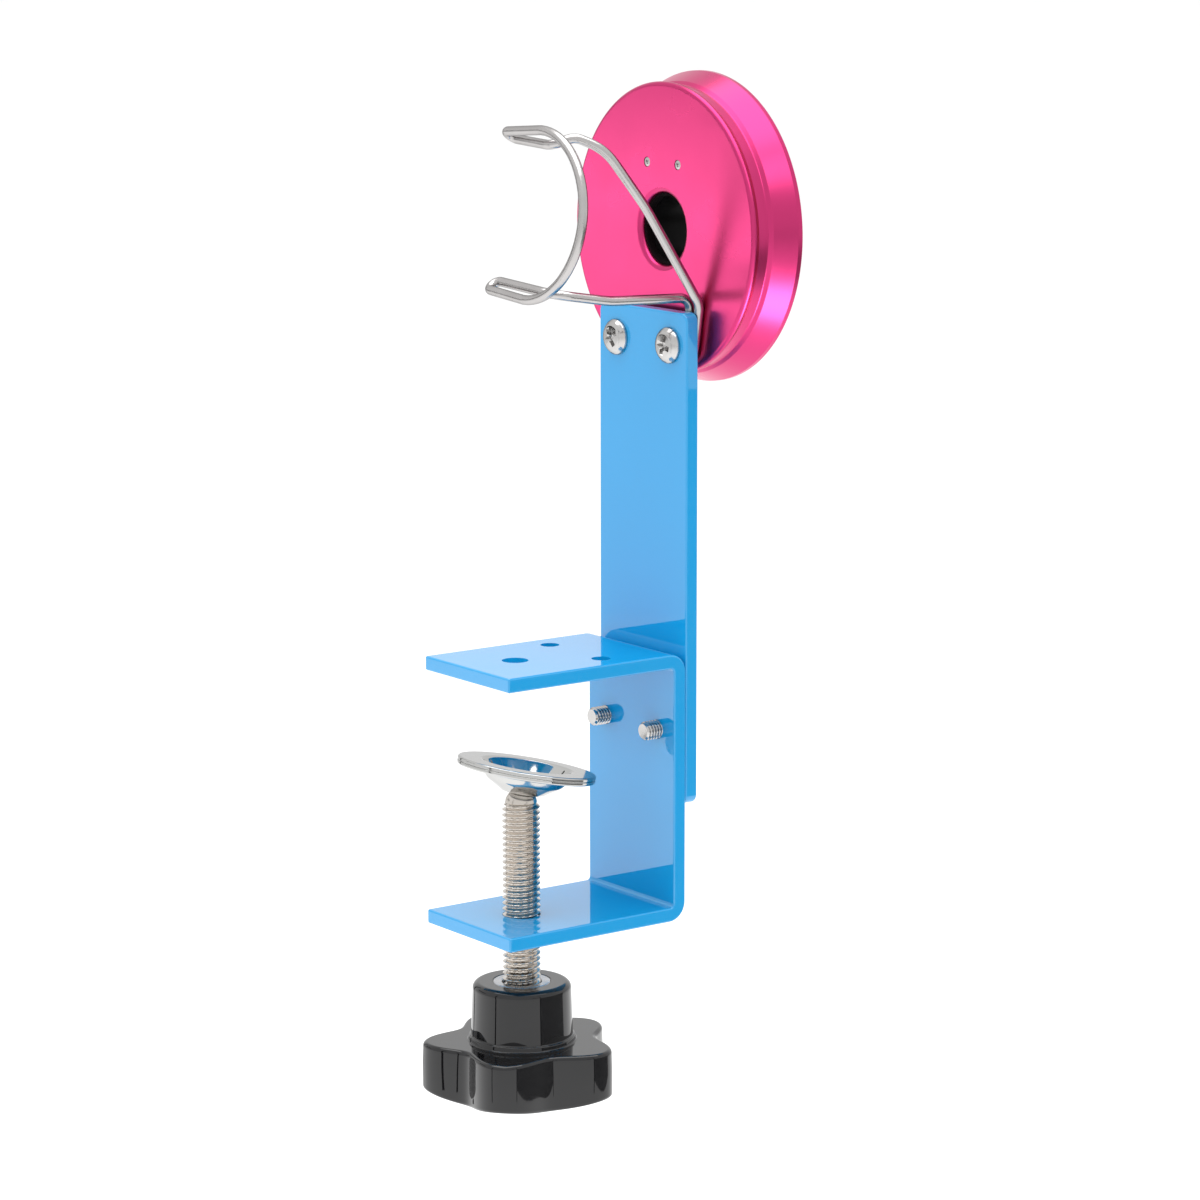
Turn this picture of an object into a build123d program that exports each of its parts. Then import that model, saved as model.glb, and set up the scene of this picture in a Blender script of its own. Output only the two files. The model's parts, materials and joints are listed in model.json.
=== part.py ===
"""Spool holder stand with a screw clamp, a flanged disc and a bent-wire cradle.

Frame, in millimetres: the origin is the middle of the clamp's seat, which is the
flat underside of the upper jaw.  +Z is up, +X runs across the width of the stand,
and -Y is the way the jaws open, so the table edge enters from -Y.
"""
import os
from math import cos, pi, radians, sin, sqrt

from build123d import *

# ---- Sheet metal: clamp bracket and upright bar ----------------------------------
plate = 3.0                 # thickness of both blue steel pieces
width = 30.0                # width of both, along X
jaw_length = 45.0           # jaw tip to the bracket's back face
jaw_gap = 51.0              # clear height between the jaws
bend_inner = 0.8            # inside radius of the two bends
bend_outer = 4.0
edge_round = 0.4            # rounding left on every painted edge
bar_length = 103.0
bar_corner = 2.0            # corner radius at the bar's two ends
bar_overhang = 7.0          # bar top edge above the cradle screws

front_y = -19.5                     # tips of the jaws
back_y = front_y + jaw_length                       # back face of the bracket
bar_back_y = back_y + plate                         # back face of the bar
lower_top_z = -jaw_gap                              # upper face of the lower jaw
lower_bottom_z = -jaw_gap - plate

# ---- Fasteners --------------------------------------------------------------------
m4 = 4.0                    # thread size of the four pan-head screws
screw_pitch_x = 18.0        # spacing of each pair, along X
head_d = 7.6
head_h = 1.9
joint_z = -13.8             # height of the bracket-to-bar screws
joint_tip = 3.7             # threaded tips standing out inside the jaws
cradle_z = 66.6             # height of the bar-to-disc screws
cradle_screw_bite = 6.0     # thread inside the disc
recess_span = 4.4           # Phillips recess, across its wings
recess_wing = 1.05
recess_depth = 1.3

# ---- Holes in the upper jaw --------------------------------------------------------
centre_hole_d = 5.5
centre_hole_y = -7.3
side_hole_d = 4.0
side_hole_y = 8.0
side_hole_pitch = 18.0

# ---- Clamp spindle, pad and knob ----------------------------------------------------
spindle_y = -6.0
spindle_d = 7.9             # crest diameter of the M8 thread
spindle_hole_d = 8.0
spindle_top_z = -27.0       # top of the threaded length
pivot_z = -27.4             # centre of the domed collar that the pad rocks on
collar_r = 3.4
collar_base_z = -26.95
stub_r = 1.9
stub_hole_r = 1.97
washer_r = 3.4
washer_sheet = 0.5
washer_rise = 4.1           # underside of the washer above the pivot
rivet_r = 2.9
rivet_h = 1.2
pad_tilt = 11.0             # the pad's stop, and how far it hangs over at rest
pad_tilt_dir = 86.0         # compass direction of its low side, from +X towards +Y
pad_d = 29.0
pad_sheet = 0.9
pad_hem = 1.7               # height of the folded rim
pad_cup_d = 20.0            # outside of the cup where it meets the flat rim
pad_depth = 6.2             # rim's top face to the cup's floor, outside
pad_floor_d = 8.6
pad_hole_r = 2.8

knob_top_z = -65.3          # top face of the hub
knob_hub_d = 20.6
knob_hub_base_d = 21.4
knob_plate_top_z = -77.8
knob_bottom_z = -91.2       # lowest point of the domed underside
knob_dome_r = 66.0          # radius of that dome
knob_mean_r = 18.4
knob_lobe = 2.6             # the lobes stand this far out from the mean radius
knob_lobes = 5
knob_phase = 24.0           # direction of the first lobe, from +X
insert_d = 12.1
insert_length = 14.0

# ---- Flanged disc -------------------------------------------------------------------
wire_d = 2.0
disc_front_y = bar_back_y + wire_d
disc_z = 89.5
disc_rim_r = 30.4           # front rim
disc_rim_round = 0.9
disc_valley_r = 29.6
disc_shoulder_r = 30.3
disc_flange_r = 32.3
disc_valley_at = 3.0        # distances behind the front face
disc_shoulder_at = 5.4
disc_flange_at = 10.2
disc_depth = 11.4
disc_pocket_r = 27.5        # shallow recess turned in the back
disc_pocket_depth = 2.0
bore_r = 7.5
bore_mouth_round = 1.2
felt_r = 6.9
felt_at = 1.2
bush_at = 2.9
bush_r = 6.85
bush_flange_r = 11.5
bush_flange = 2.4
bush_tail = 5.0             # tube standing out behind the flange
bush_ear_width = 17.0
bush_ear_round = 3.0

face_screw_pitch = 10.4
face_screw_z = disc_z + 13.6
face_screw_d = 1.6
face_head_d = 2.0
face_head_h = 0.5

# ---- Wire cradle ---------------------------------------------------------------------
wire_y = bar_back_y + wire_d / 2        # plane of the two hooks behind the bar
cradle_y = -2.5                         # centre of the open ring
cradle_ring_z = 94.3
cradle_ring_r = 17.2
cradle_lean = 7.5                       # the ring leans back at the top
prong_x = -12.7                         # tips of the two hairpins
prong_close = 1.0                       # each prong closes in by this much
hairpin_y = 2.4                         # offset of a hairpin's return strand
hairpin_z = 1.6
hook_r = m4 / 2 + wire_d / 2 + 0.1


def cylinder_y(radius, length, x, y, z):
    """A cylinder along Y whose face nearest -Y is at y."""
    return Pos(x, y + length / 2, z) * Rot(90, 0, 0) * Cylinder(radius, length)


def cylinder_z(radius, length, x, y, z):
    """A cylinder along Z standing on z."""
    return Pos(x, y, z + length / 2) * Cylinder(radius, length)


def turned(points, plane):
    """Revolves a closed outline of (radius, height) points about the plane's Y axis."""
    face = plane * make_face(Polyline(*points, close=True))
    axis = Axis(plane.origin, plane.y_dir)
    return revolve(face, axis)


def clamp_bracket():
    """The C-shaped bracket, bent from one strip, with its tapped and plain holes."""
    height = jaw_gap + 2 * plate
    middle_z = plate - height / 2
    outer = Pos(front_y + jaw_length / 2, middle_z) * Rectangle(jaw_length, height)
    outer = fillet(outer.vertices().group_by(Axis.X)[-1], bend_outer)
    inner = Pos(front_y + (jaw_length - plate) / 2, middle_z) * Rectangle(jaw_length - plate, jaw_gap)
    inner = fillet(inner.vertices().group_by(Axis.X)[-1], bend_inner)
    strip = extrude(Plane.YZ * (outer - inner), width / 2, both=True)
    strip = fillet(strip.edges(), edge_round)
    strip -= cylinder_z(spindle_hole_d / 2, plate, 0, spindle_y, lower_bottom_z)
    strip -= cylinder_z(centre_hole_d / 2, plate, 0, centre_hole_y, 0)
    for side in (-1, 1):
        strip -= cylinder_z(side_hole_d / 2, plate, side * side_hole_pitch / 2, side_hole_y, 0)
        strip -= cylinder_y(m4 / 2, plate, side * screw_pitch_x / 2, back_y - plate, joint_z)
    return strip


def upright_bar():
    """The flat bar screwed to the back of the bracket."""
    top_z = cradle_z + bar_overhang
    outline = Pos(0, top_z - bar_length / 2) * RectangleRounded(width, bar_length, bar_corner)
    bar = extrude(Plane.XZ * outline, -plate)
    bar = Pos(0, back_y, 0) * fillet(bar.edges(), edge_round)
    for side in (-1, 1):
        bar -= cylinder_y(m4 / 2, plate, side * screw_pitch_x / 2, back_y, joint_z)
        bar -= cylinder_y(m4 / 2, plate, side * screw_pitch_x / 2, back_y, cradle_z)
    return bar


def pan_screw(length):
    """A Phillips pan-head screw along +Z from its seat at Z 0, its head below."""
    head = Pos(0, 0, -head_h / 2) * Cylinder(head_d / 2, head_h)
    head = fillet(head.edges().group_by(Axis.Z)[0], head_h * 0.85)
    shank = cylinder_z(m4 / 2, length, 0, 0, 0)
    shank = chamfer(shank.edges().group_by(Axis.Z)[-1], 0.4)
    wing = Box(recess_span, recess_wing, 2 * recess_depth)
    cross = Pos(0, 0, -head_h) * (wing + Rot(0, 0, 90) * wing)
    return head + shank - cross


def joint_screw(side):
    """Enters from behind the bar and is tapped into the bracket's back panel."""
    screw = pan_screw(2 * plate + joint_tip)
    return Pos(side * screw_pitch_x / 2, bar_back_y, joint_z) * Rot(90, 0, 0) * screw


def cradle_screw(side):
    """Enters from the front of the bar, holds a wire hook and is tapped into the disc."""
    screw = pan_screw(plate + wire_d + cradle_screw_bite)
    return Pos(side * screw_pitch_x / 2, back_y, cradle_z) * Rot(-90, 0, 0) * screw


def spindle():
    """The threaded spindle, with the stub that is riveted over inside the pad."""
    bottom_z = knob_top_z - insert_length
    rod = cylinder_z(spindle_d / 2, spindle_top_z - bottom_z, 0, 0, bottom_z)
    rod = chamfer(rod.edges().group_by(Axis.Z)[-1], 0.7)
    rivet_z = pivot_z + washer_rise + washer_sheet + 0.05
    rod += cylinder_z(stub_r, rivet_z - spindle_top_z, 0, 0, spindle_top_z)
    rivet = cylinder_z(rivet_r, rivet_h, 0, 0, rivet_z)
    rod += fillet(rivet.edges().group_by(Axis.Z)[-1], 0.8)
    return Pos(0, spindle_y, 0) * rod


def ball_collar():
    """The domed collar between the spindle and the pad, loose on the stub."""
    dome = Pos(0, 0, pivot_z) * Sphere(collar_r)
    dome -= Pos(0, 0, collar_base_z - collar_r) * Cylinder(2 * collar_r, 2 * collar_r)
    dome -= Pos(0, 0, pivot_z) * Cylinder(stub_hole_r, 4 * collar_r)
    return Pos(0, spindle_y, 0) * dome


def pad_washer():
    """The washer under the rivet head that keeps the loose pad on the stub."""
    washer = cylinder_z(washer_r, washer_sheet, 0, 0, pivot_z + washer_rise)
    washer -= cylinder_z(stub_hole_r, washer_sheet, 0, 0, pivot_z + washer_rise)
    return Pos(0, spindle_y, 0) * washer


def pressure_pad():
    """A dished steel pad with a folded rim, hanging over on the domed collar."""
    floor = sqrt(collar_r**2 - pad_hole_r**2) + 0.05
    top = floor + pad_depth
    rim = top - pad_sheet
    cup = pad_cup_d / 2
    outline = [
        (pad_hole_r, floor),
        (pad_floor_d / 2, floor + 0.35),
        (cup - 2.6, floor + pad_depth * 0.42),
        (cup, rim),
        (pad_d / 2 - 1.2, rim),
        (pad_d / 2 - 1.2, top - pad_hem),
        (pad_d / 2, top - pad_hem),
        (pad_d / 2, top),
        (cup - 0.7, top),
        (cup - 3.3, floor + pad_depth * 0.42 + pad_sheet * 0.8),
        (pad_floor_d / 2 - 0.2, floor + 0.35 + pad_sheet),
        (pad_hole_r, floor + pad_sheet),
    ]
    pad = turned(outline, Plane.XZ)
    lean = Pos(0, spindle_y, pivot_z) * Rot(0, 0, pad_tilt_dir) * Rot(0, pad_tilt, 0)
    return lean * pad


def knob():
    """The five-lobed knob with its hub, moulded around the threaded insert."""
    turns = 4 * knob_lobes
    rim = []
    for step in range(turns):
        angle = 2 * pi * step / turns
        radius = knob_mean_r + knob_lobe * cos(knob_lobes * angle)
        rim.append((radius * cos(angle), radius * sin(angle)))
    star = make_face(Spline(*rim, periodic=True))
    grip = extrude(star, knob_plate_top_z - knob_bottom_z)
    grip = fillet(grip.edges().group_by(Axis.Z)[-1], 1.0)
    grip = Pos(0, 0, knob_bottom_z) * Rot(0, 0, knob_phase) * grip
    grip &= Pos(0, 0, knob_bottom_z + knob_dome_r) * Sphere(knob_dome_r)
    grip = fillet(grip.faces().sort_by(Axis.Z)[0].edges(), 0.8)
    hub_height = knob_top_z - knob_plate_top_z + 1.0
    hub = Pos(0, 0, knob_top_z - hub_height / 2) * Cone(knob_hub_base_d / 2, knob_hub_d / 2, hub_height)
    hub = fillet(hub.edges().group_by(Axis.Z)[-1], 1.4)
    socket = cylinder_z(insert_d / 2, insert_length, 0, 0, knob_top_z - insert_length)
    return Pos(0, spindle_y, 0) * (grip + hub - socket)


def knob_insert():
    """The metal insert that joins the knob to the spindle."""
    sleeve = cylinder_z(insert_d / 2, insert_length, 0, 0, knob_top_z - insert_length)
    sleeve -= cylinder_z(spindle_d / 2, insert_length, 0, 0, knob_top_z - insert_length)
    return Pos(0, spindle_y, 0) * sleeve


def flanged_disc():
    """The turned aluminium disc: rounded front rim, shallow valley, flared flange."""
    outline = [
        (bore_r, 0),
        (disc_rim_r, 0),
        (disc_rim_r, disc_rim_round),
        (disc_valley_r, disc_valley_at),
        (disc_shoulder_r, disc_shoulder_at),
        (disc_flange_r, disc_flange_at),
        (disc_flange_r, disc_depth),
        (disc_pocket_r, disc_depth),
        (disc_pocket_r, disc_depth - disc_pocket_depth),
        (bore_r, disc_depth - disc_pocket_depth),
    ]
    disc = turned(outline, Plane(origin=(0, disc_front_y, disc_z), x_dir=(1, 0, 0), z_dir=(0, 0, 1)))
    mouth = disc.edges().filter_by(GeomType.CIRCLE).group_by(Axis.Y)[0].sort_by(SortBy.RADIUS)[0]
    disc = fillet(mouth, bore_mouth_round)
    rim = disc.edges().filter_by(GeomType.CIRCLE).group_by(Axis.Y)[0].sort_by(SortBy.RADIUS)[-1]
    disc = fillet(rim, disc_rim_round - 0.02)
    for side in (-1, 1):
        x = side * screw_pitch_x / 2
        disc -= cylinder_y(m4 / 2, cradle_screw_bite, x, disc_front_y, cradle_z)
        x = side * face_screw_pitch / 2
        disc -= cylinder_y(face_screw_d / 2, disc_depth, x, disc_front_y, face_screw_z)
        disc -= cylinder_y(face_head_d / 2, face_head_h, x, disc_front_y, face_screw_z)
    return disc


def bore_felt():
    """The felt ring glued just inside the mouth of the disc's bore."""
    ring = cylinder_y(bore_r, bush_at - felt_at, 0, disc_front_y + felt_at, disc_z)
    return ring - cylinder_y(felt_r, bush_at - felt_at, 0, disc_front_y + felt_at, disc_z)


def flange_seat_y():
    """Floor of the pocket in the disc's back, where the bush's flange sits."""
    return disc_front_y + disc_depth - disc_pocket_depth


def bore_bush():
    """The plastic bush behind the felt, with a flange and a two-screw ear at the back."""
    seat_y = flange_seat_y()
    start_y = disc_front_y + bush_at
    end_y = seat_y + bush_flange + bush_tail
    bush = cylinder_y(bore_r, end_y - start_y, 0, start_y, disc_z)
    bush += cylinder_y(bush_flange_r, bush_flange, 0, seat_y, disc_z)
    ear_top = face_screw_z - disc_z + bush_ear_round + 0.8
    outline = Pos(0, ear_top / 2) * RectangleRounded(bush_ear_width, ear_top, bush_ear_round)
    ear = extrude(Plane.XZ * outline, -bush_flange)
    bush += Pos(0, seat_y, disc_z) * ear
    bush -= cylinder_y(bush_r, end_y - start_y, 0, start_y, disc_z)
    for side in (-1, 1):
        x = side * face_screw_pitch / 2
        bush -= cylinder_y(face_screw_d / 2, bush_flange, x, seat_y, face_screw_z)
    return bush


def face_screw(side):
    """A tiny screw through the disc's face, tapped into the ear of the bush."""
    x = side * face_screw_pitch / 2
    length = flange_seat_y() + bush_flange - disc_front_y
    screw = cylinder_y(face_screw_d / 2, length, x, disc_front_y, face_screw_z)
    screw += cylinder_y(face_head_d / 2, face_head_h + 0.1, x, disc_front_y - 0.1, face_screw_z)
    return screw


def cradle_route():
    """Corner points and bend radii of the wire's centre line, end to end."""
    lean_y = sin(radians(cradle_lean))
    lean_z = cos(radians(cradle_lean))
    right_x = screw_pitch_x / 2
    top_z = cradle_ring_z + cradle_ring_r * lean_z
    top_y = cradle_y + cradle_ring_r * lean_y
    low_z = cradle_ring_z - cradle_ring_r * lean_z
    low_y = cradle_y - cradle_ring_r * lean_y
    over_z = cradle_z + hook_r
    route = [
        # Hook under the right screw, then up beside it.
        ((right_x - hook_r, wire_y, cradle_z + 0.6), 0),
        ((right_x - hook_r, wire_y, cradle_z - hook_r), hook_r - 0.05),
        ((right_x + hook_r, wire_y, cradle_z - hook_r), hook_r - 0.05),
        ((14.0, wire_y, 75.2), 4.0),
        # Upper leg, rising forward to the upper prong.
        ((9.1, 19.3, 95.4), 30.0),
        ((6.0, 11.4, 107.3), 12.0),
        ((2.7, 6.2, 109.8), 4.0),
        ((0.2, top_y + hairpin_y, top_z - prong_close - hairpin_z - 0.6), 3.0),
        ((prong_x, top_y + hairpin_y, top_z - prong_close - hairpin_z), 1.4),
        ((prong_x, top_y, top_z - prong_close), 1.4),
        ((0.0, top_y, top_z), 8.0),
    ]
    # Half ring, from the upper prong round to the lower one.
    steps = 3
    for step in range(steps):
        angle = radians(90 - 180 * (step + 0.5) / steps)
        reach = cradle_ring_r / cos(radians(90 / steps))
        x = reach * cos(angle)
        y = cradle_y + reach * sin(angle) * lean_y
        z = cradle_ring_z + reach * sin(angle) * lean_z
        route.append(((x, y, z), cradle_ring_r - 0.2))
    route += [
        ((0.0, low_y, low_z), 8.0),
        ((prong_x, low_y, low_z + prong_close), 1.4),
        ((prong_x, low_y + hairpin_y, low_z + prong_close + hairpin_z), 1.4),
        # Lower leg, over the bar's top edge and down behind it.
        ((6.0, -1.5, 78.6), 5.0),
        ((8.2, 11.0, 76.6), 20.0),
        ((10.8, wire_y, 76.3), 2.4),
        ((10.8, wire_y, over_z + 0.2), 2.4),
        # Over the right screw to a hook around the left one.
        ((-right_x - hook_r, wire_y, over_z), hook_r - 0.05),
        ((-right_x - hook_r, wire_y, cradle_z - hook_r), hook_r - 0.05),
        ((-right_x + hook_r, wire_y, cradle_z - hook_r), 0),
    ]
    return route


def wire_cradle():
    """The cradle, bent from one length of round wire."""
    route = cradle_route()
    points = [point for point, radius in route]
    radii = [radius for point, radius in route[1:-1]]
    path = FilletPolyline(*points, radius=radii)
    section = Plane(origin=path @ 0, z_dir=path % 0) * Circle(wire_d / 2)
    return sweep(section, path=path)


nodes = {
    "clamp_bracket": clamp_bracket(),
    "upright_bar": upright_bar(),
    "joint_screw_left": joint_screw(-1),
    "joint_screw_right": joint_screw(1),
    "cradle_screw_left": cradle_screw(-1),
    "cradle_screw_right": cradle_screw(1),
    "spindle": spindle(),
    "ball_collar": ball_collar(),
    "pad_washer": pad_washer(),
    "pressure_pad": pressure_pad(),
    "knob": knob(),
    "knob_insert": knob_insert(),
    "flanged_disc": flanged_disc(),
    "bore_felt": bore_felt(),
    "bore_bush": bore_bush(),
    "face_screw_left": face_screw(-1),
    "face_screw_right": face_screw(1),
    "wire_cradle": wire_cradle(),
}

os.makedirs("parts", exist_ok=True)
for name, solid in nodes.items():
    export_step(solid, f"parts/{name}.step")
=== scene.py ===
"""Looks for the clamp-on spool holder stand: finished pieces, materials, floor, light and camera.

Everything is in metres, in the CAD's own frame: the origin is the middle of the clamp
seat, +Z is up, +X runs across the width and -Y is the way the jaws open.
"""

import json
import math
import random

import bmesh
import bpy
from mathutils import Matrix, Vector, noise


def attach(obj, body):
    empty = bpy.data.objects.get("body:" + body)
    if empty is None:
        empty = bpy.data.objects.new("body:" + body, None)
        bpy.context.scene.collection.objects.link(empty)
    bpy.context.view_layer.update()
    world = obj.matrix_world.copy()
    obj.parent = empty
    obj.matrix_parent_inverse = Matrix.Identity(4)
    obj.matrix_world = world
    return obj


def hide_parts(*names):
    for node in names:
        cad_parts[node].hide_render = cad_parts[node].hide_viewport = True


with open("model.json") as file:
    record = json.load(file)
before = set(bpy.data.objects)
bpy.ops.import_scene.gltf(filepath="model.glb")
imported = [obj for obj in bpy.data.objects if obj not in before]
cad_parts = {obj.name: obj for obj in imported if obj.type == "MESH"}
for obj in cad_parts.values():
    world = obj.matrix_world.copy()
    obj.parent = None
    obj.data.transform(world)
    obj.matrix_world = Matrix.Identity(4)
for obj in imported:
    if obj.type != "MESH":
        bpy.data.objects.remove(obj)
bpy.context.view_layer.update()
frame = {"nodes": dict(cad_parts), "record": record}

MM = 0.001
TURN = 2 * math.pi
# Turns that point a place's +Z out of the stand's front (-Y) or back (+Y).
TO_FRONT = Matrix.Rotation(math.pi / 2, 4, "X")
TO_BACK = Matrix.Rotation(-math.pi / 2, 4, "X")


def shifted(x, y, z):
    """A matrix that moves by millimetres."""
    return Matrix.Translation(Vector((x, y, z)) * MM)


def add_object(name, data):
    """A new object in the scene."""
    thing = bpy.data.objects.new(name, data)
    bpy.context.scene.collection.objects.link(thing)
    return thing


# ---- Materials ---------------------------------------------------------------------

def new_material(name):
    """An empty node material and its Principled shader."""
    material = bpy.data.materials.new(name)
    material.use_nodes = True
    tree = material.node_tree
    tree.nodes.clear()
    output = tree.nodes.new("ShaderNodeOutputMaterial")
    shader = tree.nodes.new("ShaderNodeBsdfPrincipled")
    tree.links.new(shader.outputs["BSDF"], output.inputs["Surface"])
    return material, tree, shader


def noise_value(tree, scale, detail):
    """Noise over the object's own coordinates; scale is per metre."""
    place = tree.nodes.new("ShaderNodeTexCoord")
    texture = tree.nodes.new("ShaderNodeTexNoise")
    texture.inputs["Scale"].default_value = scale
    texture.inputs["Detail"].default_value = detail
    tree.links.new(place.outputs["Object"], texture.inputs["Vector"])
    return texture.outputs["Fac"]


def ranged(tree, value, low, high):
    """Maps the middle range of a noise value, where nearly all of it lies, to low..high."""
    node = tree.nodes.new("ShaderNodeMapRange")
    node.inputs["From Min"].default_value = 0.3
    node.inputs["From Max"].default_value = 0.7
    node.inputs["To Min"].default_value = low
    node.inputs["To Max"].default_value = high
    tree.links.new(value, node.inputs["Value"])
    return node.outputs["Result"]


def mixed(tree, factor, first, second):
    """A colour between first and second by factor."""
    node = tree.nodes.new("ShaderNodeMix")
    node.data_type = "RGBA"
    node.inputs["A"].default_value = (*first, 1)
    node.inputs["B"].default_value = (*second, 1)
    tree.links.new(factor, node.inputs["Factor"])
    return node.outputs["Result"]


def bumped(tree, shader, height, distance):
    """Feeds a height in 0..1 to the shader's normal; distance is its full depth."""
    node = tree.nodes.new("ShaderNodeBump")
    node.inputs["Strength"].default_value = 1.0
    node.inputs["Distance"].default_value = distance
    tree.links.new(height, node.inputs["Height"])
    tree.links.new(node.outputs["Normal"], shader.inputs["Normal"])


def surface(name, colours, roughness, grain, bump, metallic=0.0, sockets=None):
    """A material whose colour, roughness and bump vary with noise.

    colours and roughness are (one end, other end); grain is the (colour, bump) noise
    scales per metre; bump is its depth in metres; sockets are plain shader values.
    """
    material, tree, shader = new_material(name)
    patches = noise_value(tree, grain[0], detail=4.0)
    fine = noise_value(tree, grain[1], detail=2.0)
    tree.links.new(mixed(tree, patches, *colours), shader.inputs["Base Color"])
    tree.links.new(ranged(tree, patches, *roughness), shader.inputs["Roughness"])
    bumped(tree, shader, fine, bump)
    shader.inputs["Metallic"].default_value = metallic
    for socket, value in (sockets or {}).items():
        shader.inputs[socket].default_value = value
    return material


def turned_metal(name, colours, roughness, axis_z, spacing, bump):
    """Anodised metal with fine concentric marks about the line along Y at the height axis_z."""
    material, tree, shader = new_material(name)
    place = tree.nodes.new("ShaderNodeTexCoord")
    mapping = tree.nodes.new("ShaderNodeMapping")
    mapping.inputs["Location"].default_value = (0, 0, -axis_z)
    rings = tree.nodes.new("ShaderNodeTexWave")
    rings.wave_type = "RINGS"
    rings.rings_direction = "Y"
    # The wave texture repeats 20 / (2 pi) times per unit at a scale of 1.
    rings.inputs["Scale"].default_value = TURN / (20 * spacing)
    tree.links.new(place.outputs["Object"], mapping.inputs["Vector"])
    tree.links.new(mapping.outputs["Vector"], rings.inputs["Vector"])
    cloud = noise_value(tree, 60, detail=4.0)
    tree.links.new(mixed(tree, cloud, *colours), shader.inputs["Base Color"])
    tree.links.new(ranged(tree, cloud, *roughness), shader.inputs["Roughness"])
    bumped(tree, shader, rings.outputs["Fac"], bump)
    shader.inputs["Metallic"].default_value = 1.0
    return material


# Bright metals lose light at glancing angles, which draws their grey outlines.
EDGE_TINT = {"Specular Tint": (0.45, 0.45, 0.45, 1)}

blue_paint = surface(
    "blue_gloss_paint", ((0.003, 0.275, 0.59), (0.004, 0.295, 0.63)), (0.36, 0.44),
    (45, 900), 0.000002,
    sockets={"Coat Weight": 1.0, "Coat Roughness": 0.015, "Coat IOR": 1.74, "IOR": 1.45,
             "Specular IOR Level": 0.03})
pink_anodised = turned_metal(
    "pink_anodised_aluminium", ((0.52, 0.037, 0.150), (0.56, 0.042, 0.165)), (0.26, 0.32),
    0.0895, 0.00016, 0.00000015)
bright_wire = surface(
    "bright_stainless_wire", ((0.42, 0.405, 0.40), (0.50, 0.485, 0.48)), (0.18, 0.28),
    (220, 2600), 0.000003, 1.0, EDGE_TINT)
screw_chrome = surface(
    "plated_screw", ((0.44, 0.43, 0.42), (0.56, 0.555, 0.55)), (0.08, 0.22),
    (900, 2500), 0.000006, 1.0, EDGE_TINT)
nickel_steel = surface(
    "nickel_plated_thread", ((0.52, 0.48, 0.44), (0.64, 0.60, 0.55)), (0.12, 0.24),
    (700, 1800), 0.000005, 1.0)
pad_chrome = surface(
    "bright_pressed_steel", ((0.48, 0.48, 0.47), (0.56, 0.56, 0.55)), (0.05, 0.14),
    (130, 600), 0.000006, 1.0, {"Specular Tint": (0.75, 0.75, 0.75, 1)})
insert_metal = surface(
    "zinc_plated_insert", ((0.46, 0.46, 0.47), (0.58, 0.58, 0.59)), (0.22, 0.38),
    (500, 2600), 0.000008, 1.0)
black_plastic = surface(
    "gloss_black_moulding", ((0.004, 0.004, 0.0045), (0.008, 0.008, 0.009)), (0.02, 0.06),
    (120, 500), 0.000002, sockets={"IOR": 1.5})
bush_plastic = surface(
    "satin_black_bush", ((0.003, 0.003, 0.003), (0.006, 0.0055, 0.006)), (0.30, 0.40),
    (180, 1500), 0.000004, sockets={"Specular IOR Level": 0.08})
black_felt = surface(
    "black_felt", ((0.002, 0.0015, 0.0018), (0.008, 0.004, 0.005)), (0.9, 1.0),
    (1500, 3500), 0.0001,
    sockets={"Specular IOR Level": 0.03, "Sheen Weight": 0.02, "Sheen Roughness": 0.5})

MATERIALS = {
    "blue_paint": blue_paint, "pink_anodised": pink_anodised, "bright_wire": bright_wire,
    "screw_chrome": screw_chrome, "nickel_steel": nickel_steel, "pad_chrome": pad_chrome,
    "insert_metal": insert_metal, "black_plastic": black_plastic, "bush_plastic": bush_plastic,
    "black_felt": black_felt,
}


# ---- Mesh tools --------------------------------------------------------------------

SUPPORT = 0.15


def rounded(corners, closed=True, steps=6):
    """Points of an outline of (a, b, round) corners, each corner an arc.

    A support point just before and after each arc, SUPPORT times its radius away, keeps
    the flats next to it flat when shaded.
    """
    points = []
    count = len(corners)
    for i, (a, b, radius) in enumerate(corners):
        here = Vector((a, b))
        if radius == 0 or (not closed and i in (0, count - 1)):
            points.append(here)
            continue
        before = (Vector(corners[i - 1][:2]) - here).normalized()
        after = (Vector(corners[(i + 1) % count][:2]) - here).normalized()
        half = before.angle(after) / 2
        reach = radius / math.tan(half)
        centre = here + (before + after).normalized() * (radius / math.sin(half))
        start = here + before * reach
        end = here + after * reach
        points.append(start + before * radius * SUPPORT)
        first, last = start - centre, end - centre
        for step in range(steps + 1):
            t = step / steps
            points.append(centre + (first * (1 - t) + last * t).normalized() * radius)
        points.append(end + after * radius * SUPPORT)
    return points


def grid_mesh(rows, closed_rows=False):
    """A bmesh of rings of points, joined ring to ring; closed_rows joins last to first."""
    mesh = bmesh.new()
    rings = [[mesh.verts.new(point) for point in row] for row in rows]
    pairs = list(zip(rings, rings[1:]))
    if closed_rows:
        pairs.append((rings[-1], rings[0]))
    for low, high in pairs:
        for i in range(len(low)):
            j = (i + 1) % len(low)
            mesh.faces.new((low[i], low[j], high[j], high[i]))
    bmesh.ops.remove_doubles(mesh, verts=mesh.verts, dist=1e-7)
    bmesh.ops.recalc_face_normals(mesh, faces=mesh.faces)
    return mesh


def ring_points(radii, heights, place):
    """Points about place's Z axis, one column for each radius and height in millimetres."""
    points = []
    for i, (radius, height) in enumerate(zip(radii, heights)):
        angle = TURN * i / len(radii)
        spot = Vector((radius * math.cos(angle), radius * math.sin(angle), height))
        points.append(place @ (spot * MM))
    return points


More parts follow.
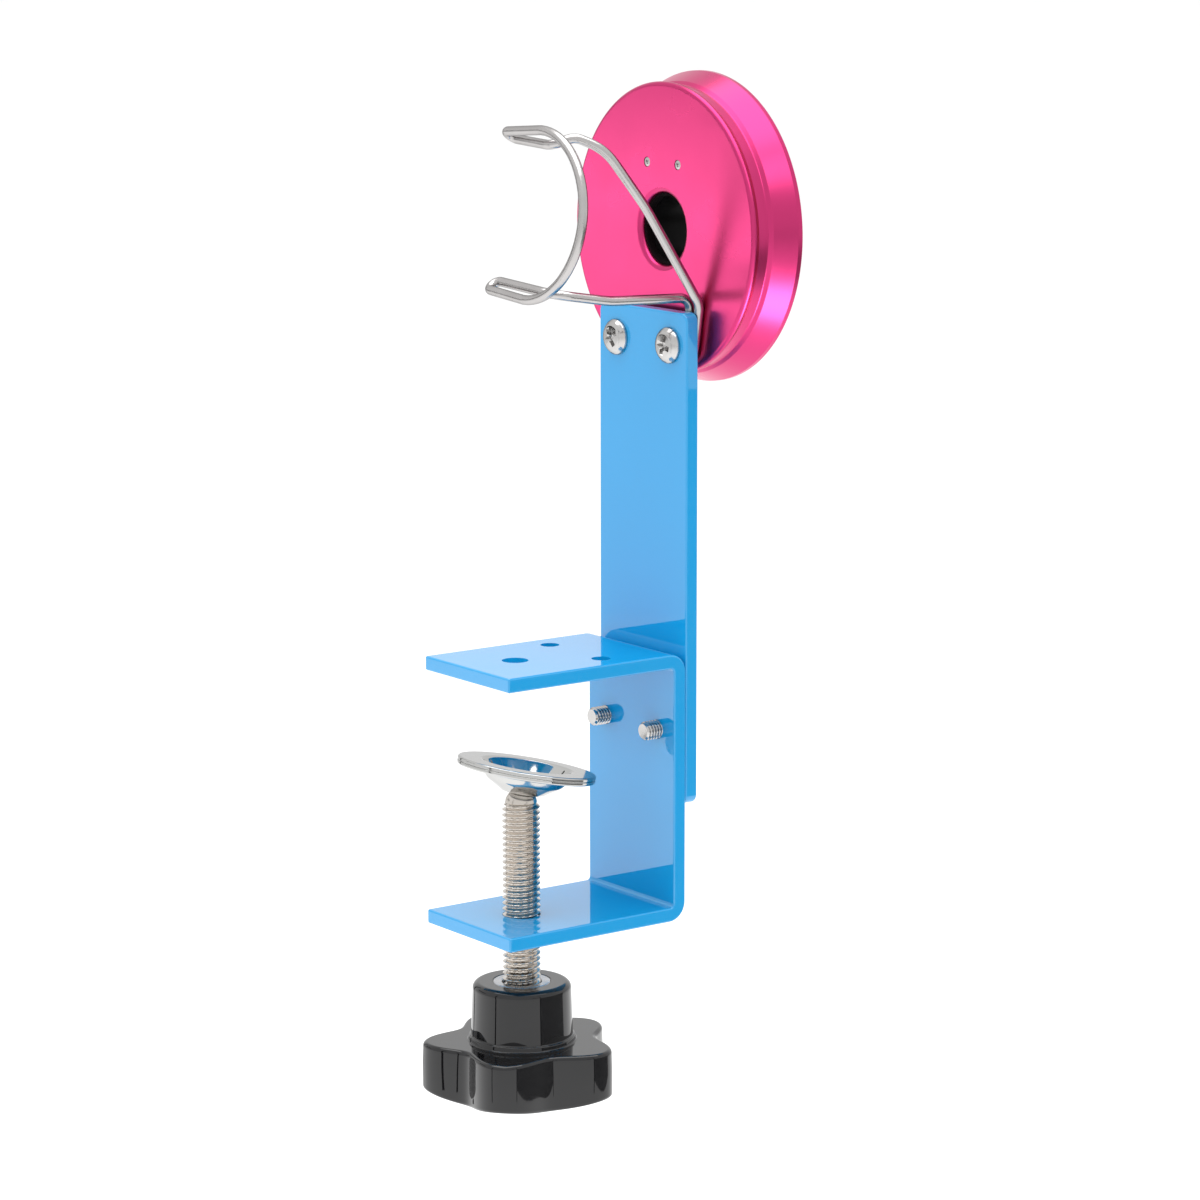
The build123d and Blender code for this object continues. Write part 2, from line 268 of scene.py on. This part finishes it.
def turned(outline, place, turns, closed=True):
    """Turns an outline of (radius, height) in millimetres about place's Z axis."""
    rows = [ring_points([radius] * turns, [height] * turns, place) for radius, height in outline]
    return grid_mesh(rows, closed_rows=closed)


def piece(name, mesh, body, slot, replaced=(), sharp=34):
    """Makes the bmesh an object that rides on body and stands for the replaced nodes."""
    data = bpy.data.meshes.new(name)
    mesh.to_mesh(data)
    mesh.free()
    data.polygons.foreach_set("use_smooth", [True] * len(data.polygons))
    data.set_sharp_from_angle(angle=math.radians(sharp))
    data.materials.append(MATERIALS[slot])
    thing = add_object(name, data)
    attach(thing, body)
    if replaced:
        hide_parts(*replaced)
    return thing


def cut(thing, cutters):
    """Subtracts each cutter mesh from thing, for good."""
    for cutter in cutters:
        data = bpy.data.meshes.new("cutter")
        cutter.to_mesh(data)
        cutter.free()
        tool = add_object("cutter", data)
        modifier = thing.modifiers.new("cut", "BOOLEAN")
        modifier.operation = "DIFFERENCE"
        modifier.solver = "EXACT"
        modifier.object = tool
        bpy.context.view_layer.update()
        graph = bpy.context.evaluated_depsgraph_get()
        result = bpy.data.meshes.new_from_object(thing.evaluated_get(graph))
        thing.modifiers.clear()
        thing.data = result
        bpy.data.objects.remove(tool)


THREAD_DEPTH = 0.61    # share of the pitch, as on ISO metric threads
CREST_HALF = 0.07      # half of the flat crest, as a share of the pitch
FLANK = 0.33           # each flank, as a share of the pitch


def thread_rows(major, pitch, start, end, lead_in, columns=48):
    """Rings of a right-hand thread along Z: a list of (height, [radius per column]).

    The thread fades out over lead_in millimetres at both ends.
    """
    depth = THREAD_DEPTH * pitch
    per_pitch = columns // 4
    count = round((end - start) / pitch * per_pitch)
    rows = []
    for j in range(count + 1):
        height = start + (end - start) * j / count
        room = min(height - start, end - height)
        radii = []
        for i in range(columns):
            phase = (height / pitch - i / columns) % 1.0
            flank = min(max((abs(phase - 0.5) - CREST_HALF) / FLANK, 0.0), 1.0)
            faded = major - depth * 1.05 + max(room, 0.0) * depth / lead_in
            radii.append(min(major - depth * flank, faded))
        rows.append((height, radii))
    return rows


def threaded(rows, before, after, place):
    """A closed body: plain (radius, height) rings, thread rows, then plain rings."""
    columns = len(rows[0][1])
    low = [(height, [radius] * columns) for radius, height in before]
    high = [(height, [radius] * columns) for radius, height in after]
    return grid_mesh([
        ring_points(radii, [height] * columns, place) for height, radii in low + rows + high])


# ---- CAD nodes: each takes the finished material of its slot ----------------------------

for row in frame["record"]["subparts"]:
    data = frame["nodes"][row["node"]].data
    data.materials.clear()
    data.materials.append(MATERIALS[row["material_slot"]])


# ---- Flanged disc, felt and bush --------------------------------------------------------

DISC_FRONT, DISC_Z = 30.5, 89.5
FRONT_R, VALLEY_R, FLANGE_R, POCKET_R = 30.4, 29.6, 32.3, 27.5
DISC_DEPTH, WEB_DEPTH = 11.4, 9.4
BORE_R, FELT_R, FELT_START, FELT_END = 7.5, 6.9, 1.2, 2.9
PIN_HEAD_R, PIN_R, PIN_LENGTH = 0.98, 0.78, 11.6
SCREW_HOLE_R, SCREW_HOLE_DEPTH = 2.02, 6.05
FACE_SCREW_X, FACE_SCREW_Z = 5.2, 103.1
SCREW_X, JOINT_Z, CRADLE_Z = 9.0, -13.8, 66.6
BAR_FRONT, BAR_BACK = 25.5, 28.5

disc_place = shifted(0, DISC_FRONT, DISC_Z) @ TO_BACK


def rod(radius, start, end, place, turns):
    """A plain closed rod along place's Z, used to cut holes."""
    return turned([(0, start), (radius, start), (radius, end), (0, end)], place, turns, closed=False)


disc = piece("turned_disc", turned(rounded([
    (BORE_R, 0, 1.2), (FRONT_R, 0, 0.85), (FRONT_R, 0.95, 0.3), (VALLEY_R, 2.1, 0.7),
    (VALLEY_R, 4.5, 0.5), (30.3, 5.3, 0.2), (FLANGE_R, 10.2, 0.25), (FLANGE_R, DISC_DEPTH, 0.3),
    (POCKET_R, DISC_DEPTH, 0.3), (POCKET_R, WEB_DEPTH, 0.4), (BORE_R, WEB_DEPTH, 0)]),
    disc_place, 256), "stand", "pink_anodised", ["flanged_disc"])
hole_tools = []
for side in (-1, 1):
    at = shifted(side * FACE_SCREW_X, DISC_FRONT, FACE_SCREW_Z) @ TO_BACK
    hole_tools.append(rod(PIN_HEAD_R + 0.07, -1.0, 0.55, at, 32))
    hole_tools.append(rod(PIN_R + 0.04, -1.0, 12.0, at, 32))
    at = shifted(side * SCREW_X, DISC_FRONT, CRADLE_Z) @ TO_BACK
    hole_tools.append(rod(SCREW_HOLE_R, -1.0, SCREW_HOLE_DEPTH, at, 48))
cut(disc, hole_tools)

felt = piece("felt_ring", turned(rounded([
    (BORE_R, FELT_START, 0.05), (BORE_R, FELT_END, 0.05), (FELT_R, FELT_END, 0.2),
    (FELT_R, FELT_START, 0.25)]),
    disc_place, 160), "stand", "black_felt", ["bore_felt"])
FELT_GRAIN, FELT_ROUGH = 2600, 0.06 * MM
for vertex in felt.data.vertices:
    vertex.co += noise.noise_vector(vertex.co * FELT_GRAIN) * FELT_ROUGH


def circle(centre, across, up, radius, sides):
    """Points round a circle spanned by two unit vectors."""
    points = []
    for k in range(sides):
        angle = TURN * k / sides
        points.append(centre + (across * math.cos(angle) + up * math.sin(angle)) * radius)
    return points


def fibre(mesh, root, tip, bow, thickness):
    """One bent hair as a thin three-sided tube that tapers to its tip."""
    axis = (tip - root).normalized()
    side = axis.orthogonal().normalized()
    other = axis.cross(side)
    rings = []
    for step in range(4):
        t = step / 3
        centre = root.lerp(tip, t) + bow * math.sin(math.pi * t)
        hair = circle(centre, side, other, thickness * (1 - 0.7 * t), 3)
        rings.append([mesh.verts.new(point) for point in hair])
    for low, high in zip(rings, rings[1:]):
        for k in range(3):
            mesh.faces.new((low[k], low[(k + 1) % 3], high[(k + 1) % 3], high[k]))
    mesh.faces.new(reversed(rings[0]))
    mesh.faces.new(rings[-1])


FIBRES, FIBRE_R, FIBRE_BOW = 900, 0.018, 0.08
random.seed(4)
fuzz = bmesh.new()
for count in range(FIBRES):
    angle = random.uniform(0, TURN)
    depth = random.uniform(1.25, 2.8)
    out = Vector((math.cos(angle), math.sin(angle), 0))
    along = Vector((-out.y, out.x, 0))
    root = out * (FELT_R + 0.1) + Vector((0, 0, depth))
    tip = out * (FELT_R - random.uniform(0.1, 0.55))
    tip += along * random.uniform(-0.5, 0.5) + Vector((0, 0, depth + random.uniform(-0.5, 0.3)))
    bow = Vector([random.uniform(-1, 1) for axis in range(3)]) * FIBRE_BOW
    fibre(fuzz, root * MM, tip * MM, bow * MM, FIBRE_R * MM)
fuzz.transform(disc_place)
piece("felt_fibres", fuzz, "stand", "black_felt")


# ---- Wire cradle --------------------------------------------------------------------------

WIRE_R, WIRE_Y, HOOK_R = 1.0, 29.5, 3.1
RING_Y, RING_Z, RING_R, RING_LEAN = -2.5, 94.3, 17.2, math.radians(7.5)


def cradle_route():
    """The wire's corner points and bend radii, end to end, in millimetres.

    It runs from the right screw's eye up one leg, through the upper hook, round the open
    ring, through the lower hook, down the other leg and round the left screw's eye.
    """
    lean_y, lean_z = math.sin(RING_LEAN), math.cos(RING_LEAN)
    top_y, top_z = RING_Y + RING_R * lean_y, RING_Z + RING_R * lean_z
    low_y, low_z = RING_Y - RING_R * lean_y, RING_Z - RING_R * lean_z
    bend, tip_x = HOOK_R - 0.05, -12.7
    route = [
        ((SCREW_X - HOOK_R, WIRE_Y, CRADLE_Z + 0.6), 0),
        ((SCREW_X - HOOK_R, WIRE_Y, CRADLE_Z - HOOK_R), bend),
        ((SCREW_X + HOOK_R, WIRE_Y, CRADLE_Z - HOOK_R), bend),
        ((14.0, WIRE_Y, 75.2), 4.0), ((9.1, 19.3, 95.4), 30.0), ((6.0, 11.4, 107.3), 12.0),
        ((2.7, 6.2, 109.8), 4.0), ((0.2, top_y + 2.4, top_z - 3.2), 3.0),
        ((tip_x, top_y + 2.4, top_z - 2.6), 1.4), ((tip_x, top_y, top_z - 1.0), 1.4),
        ((0.0, top_y, top_z), 8.0)]
    reach = RING_R / math.cos(math.radians(30))
    for angle in (60, 0, -60):
        x, rise = reach * math.cos(math.radians(angle)), reach * math.sin(math.radians(angle))
        route.append(((x, RING_Y + rise * lean_y, RING_Z + rise * lean_z), RING_R - 0.2))
    route += [
        ((0.0, low_y, low_z), 8.0), ((tip_x, low_y, low_z + 1.0), 1.4),
        ((tip_x, low_y + 2.4, low_z + 2.6), 1.4), ((6.0, -1.5, 78.6), 5.0), ((8.2, 11.0, 76.6), 20.0),
        ((10.8, WIRE_Y, 76.3), 2.4), ((10.8, WIRE_Y, CRADLE_Z + HOOK_R + 0.2), 2.4),
        ((-SCREW_X - HOOK_R, WIRE_Y, CRADLE_Z + HOOK_R), bend),
        ((-SCREW_X - HOOK_R, WIRE_Y, CRADLE_Z - HOOK_R), bend),
        ((-SCREW_X + HOOK_R, WIRE_Y, CRADLE_Z - HOOK_R), 0)]
    return route


ARC_STEP = 5       # degrees between the path's points on a bend
SAME_SPOT = 0.05   # points closer than this count as one


def bent_path(route):
    """Points along a route whose corners are true arcs of their bend radii."""
    path = []
    for i, (spot, radius) in enumerate(route):
        here = Vector(spot)
        if radius == 0:
            path.append(here)
            continue
        before = (Vector(route[i - 1][0]) - here).normalized()
        after = (Vector(route[i + 1][0]) - here).normalized()
        half = before.angle(after) / 2
        centre = here + (before + after).normalized() * (radius / math.sin(half))
        first = here + before * (radius / math.tan(half)) - centre
        last = here + after * (radius / math.tan(half)) - centre
        sweep = first.angle(last)
        steps = max(2, round(math.degrees(sweep) / ARC_STEP))
        for step in range(steps + 1):
            t = step / steps
            blend = first * math.sin(sweep * (1 - t)) + last * math.sin(sweep * t)
            path.append(centre + blend / math.sin(sweep))
    kept = [path[0]]
    for spot in path[1:]:
        if (spot - kept[-1]).length > SAME_SPOT:
            kept.append(spot)
    return kept


def wire_mesh(path, radius, around=28):
    """A round wire along the path, with slightly domed ends."""
    tangents = []
    for i in range(len(path)):
        ahead = path[min(i + 1, len(path) - 1)] - path[max(i - 1, 0)]
        tangents.append(ahead.normalized())
    side = tangents[0].orthogonal().normalized()
    frames = []
    for tangent in tangents:
        side = (side - tangent * side.dot(tangent)).normalized()
        frames.append((side.copy(), tangent.cross(side)))
    end = len(path) - 1
    dome = [(1.0, 0.0), (0.93, 0.03), (0.75, 0.12), (0.0, 0.18)]
    stations = [(0, share, -shift) for share, shift in reversed(dome[1:])]
    stations += [(i, 1.0, 0.0) for i in range(len(path))]
    stations += [(end, share, shift) for share, shift in dome[1:]]
    rows = []
    for i, share, shift in stations:
        centre = path[i] + tangents[i] * shift * radius
        rows.append([point * MM for point in circle(centre, *frames[i], radius * share, around)])
    return grid_mesh(rows)


piece("bent_wire_cradle", wire_mesh(bent_path(cradle_route()), WIRE_R), "stand", "bright_wire",
      ["wire_cradle"], 50)


# ---- Screws -----------------------------------------------------------------------------

JOINT_SCREW, CRADLE_SCREW = 9.7, 10.9
M4_R, M4_PITCH, M4_HEAD_R, M4_HEAD = 1.98, 0.7, 3.8, 1.9


def recess_tools(place, span, wing, depth, top):
    """Cutters for a Phillips recess entering along place's -Z from the height top."""
    tools = []
    for quarter in (0, 1):
        mesh = bmesh.new()
        corners = []
        mouth = (span / 2 + 0.25, wing / 2 + 0.12, top + 0.5)
        floor = (span * 0.27, wing * 0.34, top - depth)
        for reach, half, height in (mouth, floor):
            corners.append([mesh.verts.new(Vector((x * reach, y * half, height)) * MM)
                            for x, y in ((-1, -1), (1, -1), (1, 1), (-1, 1))])
        for i in range(4):
            j = (i + 1) % 4
            mesh.faces.new((corners[0][i], corners[0][j], corners[1][j], corners[1][i]))
        mesh.faces.new(corners[0])
        mesh.faces.new(corners[1])
        mesh.transform(place @ Matrix.Rotation(quarter * math.pi / 2 + 0.4, 4, "Z"))
        bmesh.ops.recalc_face_normals(mesh, faces=mesh.faces)
        tools.append(mesh)
    tools.append(turned([
        (0, top - depth - 0.35), (wing * 0.62, top - depth), (wing * 1.25, top + 0.5), (0, top + 0.5)],
        place, 24, closed=False))
    return tools


def cut_recess(screw, tools):
    """Cuts a screw's recess, smooths the screw again and keeps the recess crisp."""
    cut(screw, tools)
    screw.data.polygons.foreach_set("use_smooth", [True] * len(screw.data.polygons))
    screw.data.set_sharp_from_angle(angle=math.radians(32))


def pan_head_screw(name, place, length, node):
    """An M4 pan-head screw: its head rises along place's +Z, its thread runs down -Z."""
    thread = thread_rows(M4_R, M4_PITCH, -length, -0.4, 0.5)
    head = rounded([
        (1.95, 0, 0), (M4_HEAD_R, 0, 0.22), (3.72, 0.62, 0.5), (2.9, 1.55, 1.6), (0, M4_HEAD, 0)],
        closed=False)
    body = threaded(thread, [(0, -length)], head, place)
    screw = piece(name, body, "stand", "screw_chrome", [node], 40)
    cut_recess(screw, recess_tools(place, 4.9, 1.1, 1.05, 1.85))


for side, word in ((-1, "left"), (1, "right")):
    at = shifted(side * SCREW_X, BAR_BACK, JOINT_Z) @ TO_BACK
    pan_head_screw(f"joint_pan_screw_{word}", at, JOINT_SCREW, f"joint_screw_{word}")
    turn = TO_FRONT @ Matrix.Rotation(0.5 + side * 0.35, 4, "Z")
    at = shifted(side * SCREW_X, BAR_FRONT, CRADLE_Z) @ turn
    pan_head_screw(f"cradle_pan_screw_{word}", at, CRADLE_SCREW, f"cradle_screw_{word}")
    at = shifted(side * FACE_SCREW_X, DISC_FRONT, FACE_SCREW_Z) @ TO_FRONT
    tiny = turned(rounded([
        (0, -PIN_LENGTH, 0), (PIN_R, -PIN_LENGTH, 0.1), (PIN_R, -0.5, 0), (PIN_HEAD_R, -0.5, 0),
        (PIN_HEAD_R, -0.08, 0.12), (0, 0.1, 0)], closed=False), at, 32, closed=False)
    tiny = piece(f"face_pin_{word}", tiny, "stand", "screw_chrome", [f"face_screw_{word}"])
    cut_recess(tiny, recess_tools(at, 1.2, 0.3, 0.35, 0.1))


# ---- Spindle, pad and knob ------------------------------------------------------------

SPINDLE_Y, SPINDLE_TOP, PIVOT_Z = -6.0, -27.0, -27.4
KNOB_TOP, KNOB_PLATE, KNOB_BOTTOM = -65.3, -77.8, -91.2
KNOB_DOME_R, HUB_FOOT_R = 66.0, 12.6
INSERT_R, SOCKET_Z = 6.05, -79.3
PAD_LEAN, PAD_LEAN_DIRECTION = math.radians(11.0), math.radians(86.0)

COLLAR_R, WASHER_RISE, WASHER_SHEET = 3.4, 4.1, 0.5
STUB_R, RIVET_R, RIVET_H = 1.9, 2.9, 1.2
PAD_R, HEM_R, PAD_HOLE_R, PAD_DEPTH = 14.5, 13.3, 2.8, 6.2
PAD_SHEET, PAD_HEM = 0.9, 1.7

spindle_place = shifted(0, SPINDLE_Y, 0)
rivet_z = PIVOT_Z + WASHER_RISE + WASHER_SHEET + 0.05
rivet_top = rivet_z + RIVET_H
rivet = rounded([
    (STUB_R, SPINDLE_TOP, 0), (STUB_R, rivet_z, 0), (RIVET_R, rivet_z, 0.1),
    (RIVET_R, rivet_top, 0.8), (0, rivet_top, 0)], closed=False)
piece("threaded_spindle", threaded(
    thread_rows(3.95, 1.25, SOCKET_Z, SPINDLE_TOP, 0.9, 64), [(0, SOCKET_Z)], rivet,
    spindle_place), "screw", "nickel_steel", ["spindle"], 40)

pad_place = (shifted(0, SPINDLE_Y, PIVOT_Z)
             @ Matrix.Rotation(PAD_LEAN_DIRECTION, 4, "Z") @ Matrix.Rotation(PAD_LEAN, 4, "Y"))
floor_z = math.sqrt(COLLAR_R ** 2 - PAD_HOLE_R ** 2) + 0.05
rim_top = floor_z + PAD_DEPTH
rim_low = rim_top - PAD_SHEET
piece("swivel_pad", turned(rounded([
    (PAD_HOLE_R, floor_z, 0.2), (4.5, floor_z + 0.35, 1.2), (8.0, floor_z + 2.5, 3.5),
    (10.0, rim_low, 1.0), (HEM_R, rim_low, 0.1), (HEM_R, rim_top - PAD_HEM, 0.25),
    (PAD_R, rim_top - PAD_HEM, 0.35), (PAD_R, rim_top - 0.98, 0.1), (14.28, rim_top - 0.88, 0.05),
    (PAD_R, rim_top - 0.78, 0.1), (PAD_R, rim_top, 0.4), (9.3, rim_top, 1.2),
    (7.3, floor_z + 3.32, 3.2), (4.2, floor_z + 1.25, 1.0),
    (PAD_HOLE_R, floor_z + PAD_SHEET, 0.2)]),
    pad_place, 192), "pad", "pad_chrome", ["pressure_pad"])


KNOB_MEAN_R, LOBE_HEIGHT, LOBE_TURN = 18.33, 2.6, math.radians(24.0)


def lobed(columns=240):
    """The knob's radius at each column: five lobes about a mean circle."""
    radii = []
    for i in range(columns):
        angle = TURN * i / columns - LOBE_TURN
        radii.append(KNOB_MEAN_R + LOBE_HEIGHT * math.cos(5 * angle))
    return radii


def dome(radius):
    """Height of the knob's domed underside at a radius."""
    return KNOB_BOTTOM + KNOB_DOME_R - math.sqrt(KNOB_DOME_R ** 2 - radius ** 2)


def knob_mesh():
    """The knob as rings of (radius, height) columns: domed underside, lobed sides, top and hub."""
    lobes = lobed()
    edge, lean = 0.9, math.radians(18)
    rings = [[(0.0, KNOB_BOTTOM)] * len(lobes)]
    for share in (0.2, 0.4, 0.6, 0.8, 0.93):
        rings.append([(radius * share, dome(radius * share)) for radius in lobes])
    inset = edge * (1 - math.sin(lean))
    for step in range(9):
        swing = lean + (math.pi / 2 - lean) * step / 8
        rings.append([
            (radius - edge * (1 - math.sin(swing)),
             dome(radius - inset) + edge * (math.cos(lean) - math.cos(swing))) for radius in lobes])
    side = rounded([
        (0, KNOB_PLATE - 4, 0), (0.15, KNOB_PLATE, 0.95), (2.4, KNOB_PLATE, 0)], closed=False, steps=8)
    for inset, height in side:
        rings.append([(radius - inset, height) for radius in lobes])
    rings.append([((radius - 2.4) * 0.5 + HUB_FOOT_R * 0.5, KNOB_PLATE) for radius in lobes])
    hub = rounded([
        (HUB_FOOT_R, KNOB_PLATE, 0), (11.3, KNOB_PLATE, 0.35), (11.1, KNOB_PLATE + 1.0, 0.3),
        (10.68, KNOB_PLATE + 1.15, 0.3), (10.3, KNOB_TOP, 1.4), (INSERT_R, KNOB_TOP, 0.25),
        (INSERT_R, SOCKET_Z, 0.3), (0, SOCKET_Z, 0)], closed=False, steps=8)
    rings += [[(radius, height)] * len(lobes) for radius, height in hub]
    return grid_mesh([ring_points(*zip(*ring), spindle_place) for ring in rings])


piece("lobed_knob", knob_mesh(), "screw", "black_plastic", ["knob"])
insert_outer = INSERT_R - 0.02
piece("threaded_insert", turned(rounded([
    (4.1, SOCKET_Z, 0.2), (insert_outer, SOCKET_Z, 0.2), (insert_outer, KNOB_TOP, 0.25),
    (4.1, KNOB_TOP, 0.4)]), spindle_place, 96), "screw", "insert_metal", ["knob_insert"])


# ---- Camera, floor and light ---------------------------------------------------------

CAMERA_AT = 696.25, -499.4, 175.54
AZIMUTH = math.radians(53.574)
PITCH = math.radians(10.627)
ROLL = math.radians(-0.075)

camera_data = bpy.data.cameras.new("camera")
camera_data.lens = 126.87
camera_data.sensor_width = 36.0
camera_data.clip_end = 100.0
camera = add_object("camera", camera_data)
camera.matrix_world = (
    shifted(*CAMERA_AT)
    @ Matrix.Rotation(AZIMUTH, 4, "Z")
    @ Matrix.Rotation(math.pi / 2 - PITCH, 4, "X")
    @ Matrix.Rotation(ROLL, 4, "Z"))
bpy.context.scene.camera = camera

toward = Vector((math.sin(AZIMUTH), -math.cos(AZIMUTH), 0))
to_right = Vector((math.cos(AZIMUTH), math.sin(AZIMUTH), 0))
MIDDLE = Vector((0, 0, 0.02))
FLAG_DISTANCE = 0.6


def direction(side, up):
    """The unit vector side degrees round to the camera's right and up degrees high."""
    angle, height = math.radians(side), math.radians(up)
    flat = toward * math.cos(angle) + to_right * math.sin(angle)
    return flat * math.cos(height) + Vector((0, 0, math.sin(height)))


def softbox(name, side, up, distance, width, height, radiance, diffuse=True, glossy=True, only=None):
    """An area light of the given radiance, aimed at the object.

    diffuse and glossy say which rays see it; only is a collection that it is kept to.
    """
    data = bpy.data.lights.new(name, "AREA")
    data.shape = "RECTANGLE"
    data.size = width
    data.size_y = height
    data.energy = radiance * math.pi * width * height
    light = add_object(name, data)
    spot = MIDDLE + direction(side, up) * distance
    turn = (MIDDLE - spot).to_track_quat("-Z", "Y").to_matrix().to_4x4()
    light.matrix_world = Matrix.Translation(spot) @ turn
    light.visible_camera = False
    light.visible_diffuse = diffuse
    light.visible_glossy = glossy
    if only:
        light.light_linking.receiver_collection = only


def flag(name, side, width, low, high, shade):
    """An upright studio card of the given grey that only reflections see."""
    material, tree, shader = new_material(f"{name}_card")
    shader.inputs["Base Color"].default_value = (shade, shade, shade, 1)
    shader.inputs["Roughness"].default_value = 1.0
    shader.inputs["Specular IOR Level"].default_value = 0.0
    out = direction(side, 0)
    across = Vector((-out.y, out.x, 0)) * width / 2
    middle = out * FLAG_DISTANCE
    data = bpy.data.meshes.new(name)
    ends = [middle - across, middle + across]
    spots = [(ends[0].x, ends[0].y, low), (ends[1].x, ends[1].y, low),
             (ends[1].x, ends[1].y, high), (ends[0].x, ends[0].y, high)]
    data.from_pydata(spots, [], [(0, 1, 2, 3)])
    data.materials.append(material)
    card = add_object(name, data)
    card.visible_camera = False
    card.visible_diffuse = False
    card.visible_shadow = False


world = bpy.data.worlds.new("studio")
world.use_nodes = True
background = world.node_tree.nodes["Background"]
background.inputs["Color"].default_value = (1, 1, 1, 1)
background.inputs["Strength"].default_value = 1.03
bpy.context.scene.world = world
bpy.context.scene.view_settings.view_transform = "Standard"

FLOOR_Z, FLOOR_HALF = -0.30, 30.0
CARD_LOW, CARD_HIGH = -0.29, 0.30
floor_data = bpy.data.meshes.new("floor")
floor_data.from_pydata(
    [(x * FLOOR_HALF, y * FLOOR_HALF, FLOOR_Z) for x, y in ((-1, -1), (1, -1), (1, 1), (-1, 1))],
    [], [(0, 1, 2, 3)])
floor_data.materials.append(surface(
    "pale_floor", ((0.975, 0.975, 0.975), (0.985, 0.985, 0.985)), (0.85, 0.95), (2, 40), 0.0))
floor = add_object("floor", floor_data)

# Two soft lights for everything, then three that only brighten the disc's metal:
# name, degrees to the right and up, distance, width, height, radiance.
softbox("overhead", 0, 90, 1.35, 1.6, 1.6, 2.6)
softbox("left_panel", -100, 12, 1.5, 1.2, 1.0, 1.0, glossy=False)
disc_only = bpy.data.collections.new("disc_only")
disc_only.objects.link(disc)
softbox("face_fill", -107, 1.6, 0.6, 0.36, 0.06, 2.7, diffuse=False, only=disc_only)
softbox("cone_high", 39, 44, 1.3, 0.55, 0.45, 2.6, diffuse=False, only=disc_only)
softbox("cone_low", 45, -46, 0.38, 0.26, 0.24, 8.0, diffuse=False, only=disc_only)

# The cards are the gaps and dark panels of the studio, which give the gloss its edges:
# name, degrees to the right, width, bottom, top, grey.
flag("left_gap", -61, 0.032, CARD_LOW, CARD_HIGH, 0.0)
flag("right_gap", 43, 0.020, CARD_LOW, CARD_HIGH, 0.0)
flag("right_screen", 76, 0.78, CARD_LOW, -0.02, 0.18)
flag("far_gap", -140, 0.05, CARD_LOW, CARD_HIGH, 0.02)
flag("disc_streak", 30, 0.09, 0.015, 0.075, 0.02)
flag("left_high", -107, 0.30, 0.070, 0.135, 0.02)
